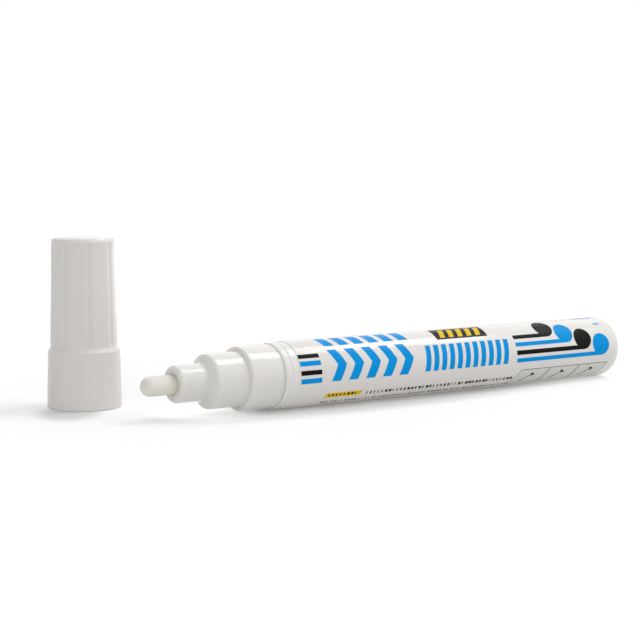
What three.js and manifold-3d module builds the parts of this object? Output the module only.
// A valve-action paint marker lying on its side, with its cap taken off and standing
// on its rim beside the nose. Millimetres, +Z up. The marker's own axis runs along +X
// from the nib tip at x = 0 to the closed rear end; the cap's own axis runs along +Z.

import * as THREE from 'three';
import { mergeVertices } from 'three/addons/utils/BufferGeometryUtils.js';
import Module from 'manifold-3d';

const wasm = await Module();
wasm.setup();

// Clearances
const pressGap = 0.05; // between pieces pushed tight into each other
const skinGap = 0.02; // between the printed film and the barrel under it
const seatGap = 0.15; // between faces that bear on each other
const slideGap = 0.12; // round a piece that slides

// Facets
const wideSides = 40; // round the barrel, the film and the front section
const slimSides = 24; // round the nib and the valve parts

// Front section, from the nib tip backwards
const nibReach = 7.45;
const nibRadius = 2.12;
const mouthRadius = 2.45;
const mouthLipLength = 0.8;
const neckLength = 6.15;
const neckRadius = 4.05;
const neckRound = 1.1;
const shoulderLength = 2.8;
const shoulderRound = 1.3;
const waistLength = 6.7;
const waistRadius = 6.02;
const ledgeLength = 1.15;
const ledgeRound = 0.75;
const collarLength = 7.29;
const collarRadius = 7.05;
const collarRound = 0.35;

// Guide ribs that hold the nib in the neck, and the paint chamber behind them
const ribCount = 6;
const ribWidth = 0.55;
const ribLength = 7.2;
const ribSetBack = 1.3;
const chamberRadius = 3.9;
const chamberTaper = 1.8;

// Plug of the section inside the barrel
const plugLength = 14;
const plugLeadIn = 0.6;
const valveSeatDepth = 8;
const valveSeatRadius = 5.2;
const packingWidth = 1.3;
const packingDepth = 0.8;
const packingSetBack = 4;

// Barrel, an impact-extruded can with a rounded closed rear end
const markerLength = 135;
const barrelRadius = 7.36;
const barrelWall = 0.4;
const rearWall = 0.7;
const rearRound = 4;
const lipGap = 0.06;
const lipRound = 0.3;
const beadLength = 1.2;
const crimpLength = 0.9;
const crimpDepth = 0.2;
const marginLength = 1.95;

// Printed film sleeve
const filmThickness = 0.1;
const filmRearMargin = 0.5;

// Valve
const pressTravel = 1.5; // how far the nib and the stem move in
const gasketThickness = 1.5;
const gasketHoleRadius = 1.75;
const stemTipRadius = 1.3;
const stemHeadRadius = 2.5;
const stemHeadLength = 1.4;
const stemBossRadius = 1.4;
const stemBossLength = 1.2;
const stemTailRadius = 0.85;
const stemTailOverhang = 0.8;
const valveFlangeLength = 5.5;
const valveTubeRadius = 3.7;
const valveTubeWall = 0.8;
const valveBodyLength = 17.8;
const valveEndWall = 1.2;
const windowCount = 4;
const windowWidth = 2;
const windowLength = 6.5;
const windowSetBack = 7;

// Valve spring
const springTurns = 9;
const springWireRadius = 0.25;
const springRadius = 2;
const stepsPerTurn = 8;
const wireSides = 5;

// Mixing ball, at rest part way along the barrel
const ballRadius = 3;
const ballRestX = 98;

// Cap
const capSkirtWall = 1.12;
const capSkirtDraft = 0.34;
const capSkirtLand = 4.85;
const capBodyWall = 1.27;
const capBodyDraft = 0.44;
const capRimRound = 0.55;
const capShoulderDrop = 0.75;
const capTopRound = 0.7;
const capTopWall = 1.5;
const capTopRelief = 2; // free space between the liner's end and the top wall
const fluteCount = 8;
const grooveHalfAngle = THREE.MathUtils.degToRad(8);
const grooveDepth = 0.14;
const landFlatness = 0.55; // 0 leaves the lands round, 1 makes them flat
const fluteRunOut = 1.5; // height over which the flutes fade out below the top
const capTurn = THREE.MathUtils.degToRad(27);
const capSpacing = 11.7; // clear floor between the cap's skirt and the marker
const capAlong = 1.48; // the cap's axis, measured along the marker from the nib tip

// Cap liner, the inner cup that seals on the neck
const linerSeal = 0.07;
const linerFlangeLength = 1.4;
const linerWall = 0.85;
const linerEndWall = 1.4;
const linerNibSpace = 0.85;
const linerHeadroom = 1.2;

// Places along the marker
const mouthX = nibReach;
const shoulderX = mouthX + neckLength;
const waistX = shoulderX + shoulderLength;
const ledgeX = waistX + waistLength;
const collarX = ledgeX + ledgeLength;
const collarEndX = collarX + collarLength;
const lipX = collarEndX + lipGap;
const crimpX = lipX + beadLength;
const crimpEndX = crimpX + crimpLength;
const filmX = crimpEndX + marginLength;
const plugEndX = lipX + plugLength;
const valveSeatX = plugEndX - valveSeatDepth;
const gasketX = valveSeatX + pressGap;
const valveBodyX = gasketX + gasketThickness + pressGap;
const valveBodyEndX = valveBodyX + valveBodyLength;
const stemHeadX = valveBodyX + pressGap;
const stemHeadEndX = stemHeadX + stemHeadLength;
const nibEndX = gasketX - pressTravel - 2 * seatGap;
const rearRoundX = markerLength - rearRound;

// Radii that follow from their neighbours
const barrelBore = barrelRadius - barrelWall;
const filmInnerRadius = barrelRadius + skinGap;
const filmRadius = filmInnerRadius + filmThickness;
const plugRadius = barrelBore - pressGap;
const crimpBore = barrelBore - crimpDepth;
const ribRadius = nibRadius + slideGap;
const valveBore = valveTubeRadius - valveTubeWall;
const axisHeight = filmRadius * Math.cos(Math.PI / wideSides); // lies on one flat facet

// Heights in the cap: the rim bears on the barrel's lip when the cap is on
const capHeightOf = (x) => lipX - x;
const capRimBore = collarRadius + slideGap;
const capWaistBore = waistRadius + slideGap;
const capLinerBore = capWaistBore - 2 * slideGap;
const capSkirtRadius = capRimBore + capSkirtWall;
const capBodyRadius = capWaistBore + capBodyWall;
const capRimBoreTop = capHeightOf(collarX) + slideGap;
const capWaistBoreStart = capHeightOf(ledgeX) + slideGap;
const capSkirtTop = capWaistBoreStart + capSkirtLand;
const linerStart = capHeightOf(shoulderX) + 2 * slideGap;
const linerNeckEnd = capHeightOf(mouthX) + 2 * slideGap;
const linerTipSpaceEnd = capHeightOf(0) + linerHeadroom;
const linerEnd = linerTipSpaceEnd + linerEndWall;
const capTopInside = linerEnd + capTopRelief;
const capHeight = capTopInside + capTopWall;
const capAcross = filmRadius + capSpacing + capSkirtRadius;

// Geometry helpers

// Points on an arc round (along, radius); angles in degrees from the along direction.
function arc(along, radius, round, fromDegrees, toDegrees, steps) {
  const points = [];
  for (let i = 0; i <= steps; i += 1) {
    const angle = THREE.MathUtils.degToRad(fromDegrees + ((toDegrees - fromDegrees) * i) / steps);
    points.push([along + round * Math.cos(angle), radius + round * Math.sin(angle)]);
  }
  return points;
}

// Solid of revolution about +X from [x, radius] points, outside first.
function turnedAlongX(profile, sideCount) {
  const points = profile.map(([x, radius]) => new THREE.Vector2(radius, x));
  const geometry = new THREE.LatheGeometry(points, sideCount, Math.PI / sideCount);
  geometry.rotateZ(-Math.PI / 2);
  return geometry;
}

// The same about +Z from [z, radius] points.
function turnedAlongZ(profile, sideCount) {
  const points = profile.map(([z, radius]) => new THREE.Vector2(radius, z));
  const geometry = new THREE.LatheGeometry(points, sideCount);
  geometry.rotateX(Math.PI / 2);
  return geometry;
}

// Closes a ring-shaped profile on itself.
function closed(profile) {
  return [...profile, profile[0]];
}

// Keeps only positions and drops triangles that have shrunk to a line or a point.
function cleaned(geometry) {
  const bare = geometry.clone();
  bare.deleteAttribute('normal');
  bare.deleteAttribute('uv');
  const merged = mergeVertices(bare, 1e-5);
  const index = [];
  for (let i = 0; i < merged.index.count; i += 3) {
    const corners = [0, 1, 2].map((k) => merged.index.getX(i + k));
    if (new Set(corners).size === 3) index.push(...corners);
  }
  merged.setIndex(index);
  return merged;
}

function toSolid(geometry) {
  const bare = cleaned(geometry);
  const vertProperties = new Float32Array(bare.attributes.position.array);
  const triVerts = new Uint32Array(bare.index.array);
  return new wasm.Manifold(new wasm.Mesh({ numProp: 3, vertProperties, triVerts }));
}

function toGeometry(solid) {
  const mesh = solid.getMesh();
  const geometry = new THREE.BufferGeometry();
  geometry.setAttribute('position', new THREE.BufferAttribute(mesh.vertProperties, 3));
  geometry.setIndex(new THREE.BufferAttribute(mesh.triVerts, 1));
  return geometry;
}

// Front section: the stepped nose, the collar that the cap's skirt covers, and the
// plug that the barrel is crimped on. Its bore holds the nib, the paint and the valve.
function sectionOutside() {
  return [
    [mouthX, ribRadius],
    ...arc(mouthX + neckRound, neckRadius - neckRound, neckRound, 180, 90, 4),
    ...arc(shoulderX, neckRadius + shoulderRound, shoulderRound, -90, -40, 3),
    ...arc(waistX, waistRadius - shoulderRound, shoulderRound, 145, 90, 4),
    [ledgeX, waistRadius],
    ...arc(collarX, collarRadius - ledgeRound, ledgeRound, 150, 90, 3),
    ...arc(collarEndX - collarRound, collarRadius - collarRound, collarRound, 90, 35, 2),
  ];
}

function plugOutside() {
  const grooveX = crimpEndX + packingSetBack;
  return [
    [collarEndX, plugRadius],
    [crimpX - crimpDepth, plugRadius],
    [crimpX + crimpDepth, crimpBore - pressGap],
    [crimpEndX - crimpDepth, crimpBore - pressGap],
    [crimpEndX + crimpDepth, plugRadius],
    [grooveX, plugRadius],
    [grooveX, plugRadius - packingDepth],
    [grooveX + packingWidth, plugRadius - packingDepth],
    [grooveX + packingWidth, plugRadius],
    [plugEndX - plugLeadIn, plugRadius],
    [plugEndX, plugRadius - plugLeadIn / 2],
  ];
}

function sectionBore() {
  const ribEndX = mouthX + ribSetBack + ribLength;
  return [
    [plugEndX, valveSeatRadius],
    [valveSeatX, valveSeatRadius],
    [valveSeatX, chamberRadius],
    [ribEndX + chamberTaper, chamberRadius],
    [ribEndX, mouthRadius],
    [mouthX + mouthLipLength, mouthRadius],
    [mouthX + mouthLipLength, ribRadius],
  ];
}

function frontSection() {
  const profile = closed([...sectionOutside(), ...plugOutside(), ...sectionBore()]);
  let solid = toSolid(turnedAlongX(profile, wideSides));
  const ribFoot = (mouthRadius + neckRadius) / 2;
  for (let i = 0; i < ribCount; i += 1) {
    const rib = new THREE.BoxGeometry(ribLength, ribWidth, ribFoot - ribRadius);
    rib.translate(mouthX + ribSetBack + ribLength / 2, 0, (ribFoot + ribRadius) / 2);
    rib.rotateX((2 * Math.PI * i) / ribCount);
    solid = solid.add(toSolid(rib));
  }
  return toGeometry(solid);
}

// Bullet nib: a round-ended rod of pressed fibre.
function nib() {
  const profile = [
    ...arc(nibRadius, 0, nibRadius, 180, 90, 6),
    [nibEndX - nibRadius / 6, nibRadius],
    [nibEndX, nibRadius - nibRadius / 6],
    [nibEndX, 0],
  ];
  return turnedAlongX(profile, slimSides);
}

// Barrel: a rolled lip, a groove crimped into the section, and a straight can.
function barrelOutside() {
  return [
    ...arc(lipX + lipRound, barrelRadius - lipRound, lipRound, 180, 90, 3),
    ...arc(crimpX - lipRound, barrelRadius - lipRound, lipRound, 90, 45, 1),
    [crimpX + crimpDepth, barrelRadius - crimpDepth],
    [crimpEndX - crimpDepth, barrelRadius - crimpDepth],
    [crimpEndX + crimpDepth, barrelRadius],
    ...arc(rearRoundX, barrelRadius - rearRound, rearRound, 90, 0, 7),
    [markerLength, 0],
  ];
}

function barrelInside() {
  const innerRound = rearRound - barrelWall;
  const innerRearX = markerLength - rearWall;
  return [
    [innerRearX, 0],
    ...arc(innerRearX - innerRound, barrelBore - innerRound, innerRound, 0, 90, 5),
    [crimpEndX + crimpDepth, barrelBore],
    [crimpEndX - crimpDepth, crimpBore],
    [crimpX + crimpDepth, crimpBore],
    [crimpX - crimpDepth, barrelBore],
    [lipX, barrelBore],
  ];
}

function barrel() {
  return turnedAlongX([...barrelInside(), ...barrelOutside()], wideSides);
}

// Printed film shrunk on the barrel, from behind the crimp to the rear rounding.
function printedFilm() {
  const filmEndX = rearRoundX - filmRearMargin;
  const profile = closed([
    [filmX, filmInnerRadius],
    [filmX, filmRadius],
    [filmEndX, filmRadius],
    [filmEndX, filmInnerRadius],
  ]);
  return turnedAlongX(profile, wideSides);
}

// Rubber ring in the plug's groove, which seals the section in the barrel.
function sectionPacking() {
  const startX = crimpEndX + packingSetBack + pressGap;
  const endX = startX + packingWidth - 2 * pressGap;
  const inner = plugRadius - packingDepth + pressGap;
  const profile = closed([
    [startX, inner],
    [startX, plugRadius],
    [endX, plugRadius],
    [endX, inner],
  ]);
  return turnedAlongX(profile, wideSides);
}

// Valve gasket: a rubber washer that the stem's head is pressed against.
function valveGasket() {
  const endX = gasketX + gasketThickness;
  const profile = closed([
    [gasketX, gasketHoleRadius],
    [gasketX, valveSeatRadius - pressGap],
    [endX, valveSeatRadius - pressGap],
    [endX, gasketHoleRadius],
  ]);
  return turnedAlongX(profile, slimSides);
}

// Valve body: a flanged cup in the plug, with windows that let the paint in.
function valveBody() {
  const flangeRadius = valveSeatRadius - pressGap;
  const flangeEndX = valveBodyX + valveFlangeLength;
  const tailHole = stemTailRadius + slideGap;
  const profile = closed([
    [valveBodyX, valveBore],
    [valveBodyX, flangeRadius],
    [flangeEndX, flangeRadius],
    [flangeEndX, valveTubeRadius],
    [valveBodyEndX, valveTubeRadius],
    [valveBodyEndX, tailHole],
    [valveBodyEndX - valveEndWall, tailHole],
    [valveBodyEndX - valveEndWall, valveBore],
  ]);
  let solid = toSolid(turnedAlongX(profile, slimSides));
  for (let i = 0; i < windowCount; i += 1) {
    const opening = new THREE.BoxGeometry(windowLength, windowWidth, valveTubeRadius);
    opening.translate(valveBodyX + windowSetBack + windowLength / 2, 0, valveBore);
    opening.rotateX((2 * Math.PI * i) / windowCount);
    solid = solid.subtract(toSolid(opening));
  }
  return toGeometry(solid);
}

// Valve stem: a tip that the nib pushes, a sealing head, a boss that centres the
// spring, and a tail that is guided in the valve body's end wall.
function valveStem() {
  const tipX = nibEndX + seatGap;
  const tailEndX = valveBodyEndX + stemTailOverhang;
  const profile = [
    [tipX, 0],
    [tipX, stemTipRadius],
    [stemHeadX, stemTipRadius],
    [stemHeadX, stemHeadRadius],
    [stemHeadEndX, stemHeadRadius],
    [stemHeadEndX, stemBossRadius],
    [stemHeadEndX + stemBossLength, stemBossRadius],
    [stemHeadEndX + stemBossLength, stemTailRadius],
    [tailEndX, stemTailRadius],
    [tailEndX, 0],
  ];
  return turnedAlongX(profile, slimSides);
}

// Valve spring: one unbroken wire wound round the stem between its head and the
// valve body's end wall.
const springStartX = stemHeadEndX + springWireRadius + seatGap;
const springEndX = valveBodyEndX - valveEndWall - springWireRadius - seatGap;
const springPitch = (springEndX - springStartX) / springTurns;

function springPoint(turns) {
  const angle = 2 * Math.PI * turns;
  const y = springRadius * Math.cos(angle);
  const z = springRadius * Math.sin(angle);
  return new THREE.Vector3(springStartX + springPitch * turns, y, z);
}

function valveSpring() {
  const steps = springTurns * stepsPerTurn;
  const positions = [];
  for (let i = 0; i <= steps; i += 1) {
    const turns = i / stepsPerTurn;
    const centre = springPoint(turns);
    const outward = new THREE.Vector3(0, centre.y, centre.z).normalize();
    const along = new THREE.Vector3(springPitch, 0, 0);
    along.addScaledVector(new THREE.Vector3(0, -outward.z, outward.y), 2 * Math.PI * springRadius);
    const sideways = new THREE.Vector3().crossVectors(along.normalize(), outward);
    for (let k = 0; k < wireSides; k += 1) {
      const angle = (2 * Math.PI * k) / wireSides;
      const point = centre.clone();
      point.addScaledVector(outward, springWireRadius * Math.cos(angle));
      point.addScaledVector(sideways, springWireRadius * Math.sin(angle));
      positions.push(point.x, point.y, point.z);
    }
  }
  const index = [];
  for (let i = 0; i < steps; i += 1) {
    for (let k = 0; k < wireSides; k += 1) {
      const here = i * wireSides + k;
      const beside = i * wireSides + ((k + 1) % wireSides);
      index.push(here, beside, here + wireSides);
      index.push(beside, beside + wireSides, here + wireSides);
    }
  }
  const last = steps * wireSides;
  for (let k = 1; k < wireSides - 1; k += 1) {
    index.push(0, k + 1, k);
    index.push(last, last + k, last + k + 1);
  }
  const geometry = new THREE.BufferGeometry();
  geometry.setAttribute('position', new THREE.Float32BufferAttribute(positions, 3));
  geometry.setIndex(index);
  return geometry;
}

// Least gap between neighbouring turns, measured between points on the wire's centre.
function springLeastGap() {
  const samples = springTurns * stepsPerTurn;
  let least = Infinity;
  for (let i = 0; i <= samples; i += 1) {
    for (let j = i + stepsPerTurn / 2; j <= samples; j += 1) {
      const between = springPoint(i / stepsPerTurn).distanceTo(springPoint(j / stepsPerTurn));
      least = Math.min(least, between - 2 * springWireRadius);
    }
  }
  return least;
}

// Mixing ball that lies on the bottom of the barrel.
function mixingBall() {
  const floorOfBore = barrelBore * Math.cos(Math.PI / wideSides);
  const geometry = new THREE.SphereGeometry(ballRadius, slimSides, slimSides / 2);
  geometry.translate(ballRestX, 0, -(floorOfBore - ballRadius - seatGap));
  return geometry;
}

// How far the cap's side lies inside its round radius: flattened lands with narrow
// hollow grooves between them.
function fluteDepth(angle, radius) {
  const pitch = (2 * Math.PI) / fluteCount;
  const turned = THREE.MathUtils.euclideanModulo(angle - capTurn + pitch / 2, pitch);
  const fromGroove = Math.abs(turned - pitch / 2);
  if (fromGroove < grooveHalfAngle) {
    return (grooveDepth * (1 + Math.cos((Math.PI * fromGroove) / grooveHalfAngle))) / 2;
  }
  const landHalfAngle = pitch / 2 - grooveHalfAngle;
  const flatLand = radius * (1 - Math.cos(landHalfAngle) / Math.cos(pitch / 2 - fromGroove));
  return landFlatness * flatLand;
}

// Angles round the cap, with each groove and each land cut into equal steps.
function capAngles(stepsEach) {
  const pitch = (2 * Math.PI) / fluteCount;
  const land = pitch - 2 * grooveHalfAngle;
  const angles = [];
  for (let i = 0; i < fluteCount; i += 1) {
    const start = capTurn + i * pitch - grooveHalfAngle;
    for (let k = 0; k < stepsEach; k += 1) angles.push(start + (2 * grooveHalfAngle * k) / stepsEach);
    for (let k = 0; k < stepsEach; k += 1) {
      angles.push(start + 2 * grooveHalfAngle + (land * k) / stepsEach);
    }
  }
  return angles;
}

// Cap shell profile as [z, radius, share of the flute], from the axis inside, down the
// bore, round the rim and up the outside to the axis on top.
function capProfile() {
  const bodyTaper = capBodyDraft / (capHeight - capSkirtTop);
  const bodyRadiusAt = (z) => capBodyRadius - bodyTaper * (z - capSkirtTop);
  const skirtTopRadius = capSkirtRadius - capSkirtDraft;
  const topEdgeRadius = bodyRadiusAt(capHeight);
  const fluteTop = capHeight - capTopRound - fluteRunOut;
  const inside = [
    [capTopInside, 0],
    [capTopInside, capLinerBore],
    [linerStart - slideGap, capLinerBore],
    [linerStart - slideGap, capWaistBore],
    [capWaistBoreStart, capWaistBore],
    [capRimBoreTop, capRimBore],
    [capRimRound, capRimBore],
    [0, capRimBore + capRimRound / 2],
  ];
  const skirt = [
    ...arc(capRimRound, capSkirtRadius - capRimRound, capRimRound, 180, 90, 3),
    [capSkirtTop - capShoulderDrop, skirtTopRadius],
    [capSkirtTop - capShoulderDrop / 3, skirtTopRadius - capSkirtDraft / 3],
    [capSkirtTop, bodyRadiusAt(capSkirtTop)],
  ];
  const body = [
    [capSkirtTop + capShoulderDrop / 3, bodyRadiusAt(capSkirtTop), 1],
    [fluteTop, bodyRadiusAt(fluteTop), 1],
    [fluteTop + fluteRunOut / 2, bodyRadiusAt(fluteTop), 0.8],
    [fluteTop + fluteRunOut, bodyRadiusAt(fluteTop + fluteRunOut), 0.3],
    ...arc(capHeight - capTopRound, topEdgeRadius - capTopRound, capTopRound, 60, 0, 2),
    [capHeight, 0],
  ];
  return [...inside, ...skirt, ...body];
}

function capShell() {
  const angles = capAngles(4);
  const profile = capProfile();
  const positions = [];
  for (const [z, radius, share = 0] of profile) {
    for (const angle of angles) {
      const reach = radius - share * fluteDepth(angle, radius);
      positions.push(reach * Math.cos(angle), reach * Math.sin(angle), z);
    }
  }
  const count = angles.length;
  const index = [];
  for (let row = 0; row + 1 < profile.length; row += 1) {
    for (let k = 0; k < count; k += 1) {
      const here = row * count + k;
      const beside = row * count + ((k + 1) % count);
      index.push(here, beside, here + count);
      index.push(beside, beside + count, here + count);
    }
  }
  const geometry = new THREE.BufferGeometry();
  geometry.setAttribute('position', new THREE.Float32BufferAttribute(positions, 3));
  geometry.setIndex(index);
  return cleaned(geometry);
}

// Cap liner: a flanged cup pressed into the shell, which closes round the neck.
function capLiner() {
  const flangeRadius = capLinerBore - pressGap;
  const neckBore = neckRadius + linerSeal;
  const tipBore = nibRadius + linerNibSpace;
  const bodyRadius = neckBore + linerWall;
  const profile = [
    [linerTipSpaceEnd, 0],
    [linerTipSpaceEnd, tipBore],
    [linerNeckEnd + neckBore - tipBore, tipBore],
    [linerNeckEnd, neckBore],
    [linerStart + linerFlangeLength / 2, neckBore],
    [linerStart, neckBore + linerFlangeLength / 4],
    [linerStart, flangeRadius],
    [linerStart + linerFlangeLength, flangeRadius],
    [linerStart + linerFlangeLength, bodyRadius],
    [linerEnd - linerFlangeLength, bodyRadius],
    [linerEnd - linerFlangeLength, flangeRadius],
    [linerEnd, flangeRadius],
    [linerEnd, 0],
  ];
  return turnedAlongZ(profile, slimSides);
}

// Finishes
const finish = (color, roughness, metalness) => ({ color, roughness, metalness });
const whitePlastic = finish(0xe8e7e3, 0.3, 0);
const capPlastic = finish(0xd9d8d4, 0.35, 0);
const naturalPlastic = finish(0xe2dfd3, 0.45, 0);
const whiteLacquer = finish(0xe9e8e5, 0.3, 0);
const whiteFilm = finish(0xf1f0ee, 0.22, 0);
const fibre = finish(0xdcd8ca, 0.9, 0);
const rubber = finish(0x2b2b2b, 0.8, 0);
const springSteel = finish(0xb4b6b8, 0.3, 1);
const ballSteel = finish(0xc2c4c6, 0.15, 1);

function piece(name, geometry, look) {
  const mesh = new THREE.Mesh(geometry, new THREE.MeshStandardMaterial(look));
  mesh.name = name;
  return mesh;
}

const marker = new THREE.Group();
marker.add(
  piece('front_section', frontSection(), whitePlastic),
  piece('nib', nib(), fibre),
  piece('barrel', barrel(), whiteLacquer),
  piece('printed_film', printedFilm(), whiteFilm),
  piece('section_packing', sectionPacking(), rubber),
  piece('valve_gasket', valveGasket(), rubber),
  piece('valve_body', valveBody(), naturalPlastic),
  piece('valve_stem', valveStem(), naturalPlastic),
  piece('valve_spring', valveSpring(), springSteel),
  piece('mixing_ball', mixingBall(), ballSteel),
);
marker.position.z = axisHeight;

const cap = new THREE.Group();
cap.add(
  piece('cap_shell', capShell(), capPlastic),
  piece('cap_liner', capLiner(), naturalPlastic),
);
cap.position.set(capAlong, capAcross, 0);

// The origin is the middle of the footprint, on the surface that both stand on.
const object = new THREE.Group();
object.add(marker, cap);
const bounds = new THREE.Box3().setFromObject(object);
const middle = bounds.getCenter(new THREE.Vector3());
object.position.set(-middle.x, -middle.y, -bounds.min.z);

console.log(`valve_spring least gap to itself: ${springLeastGap().toFixed(3)} mm`);

export default object;
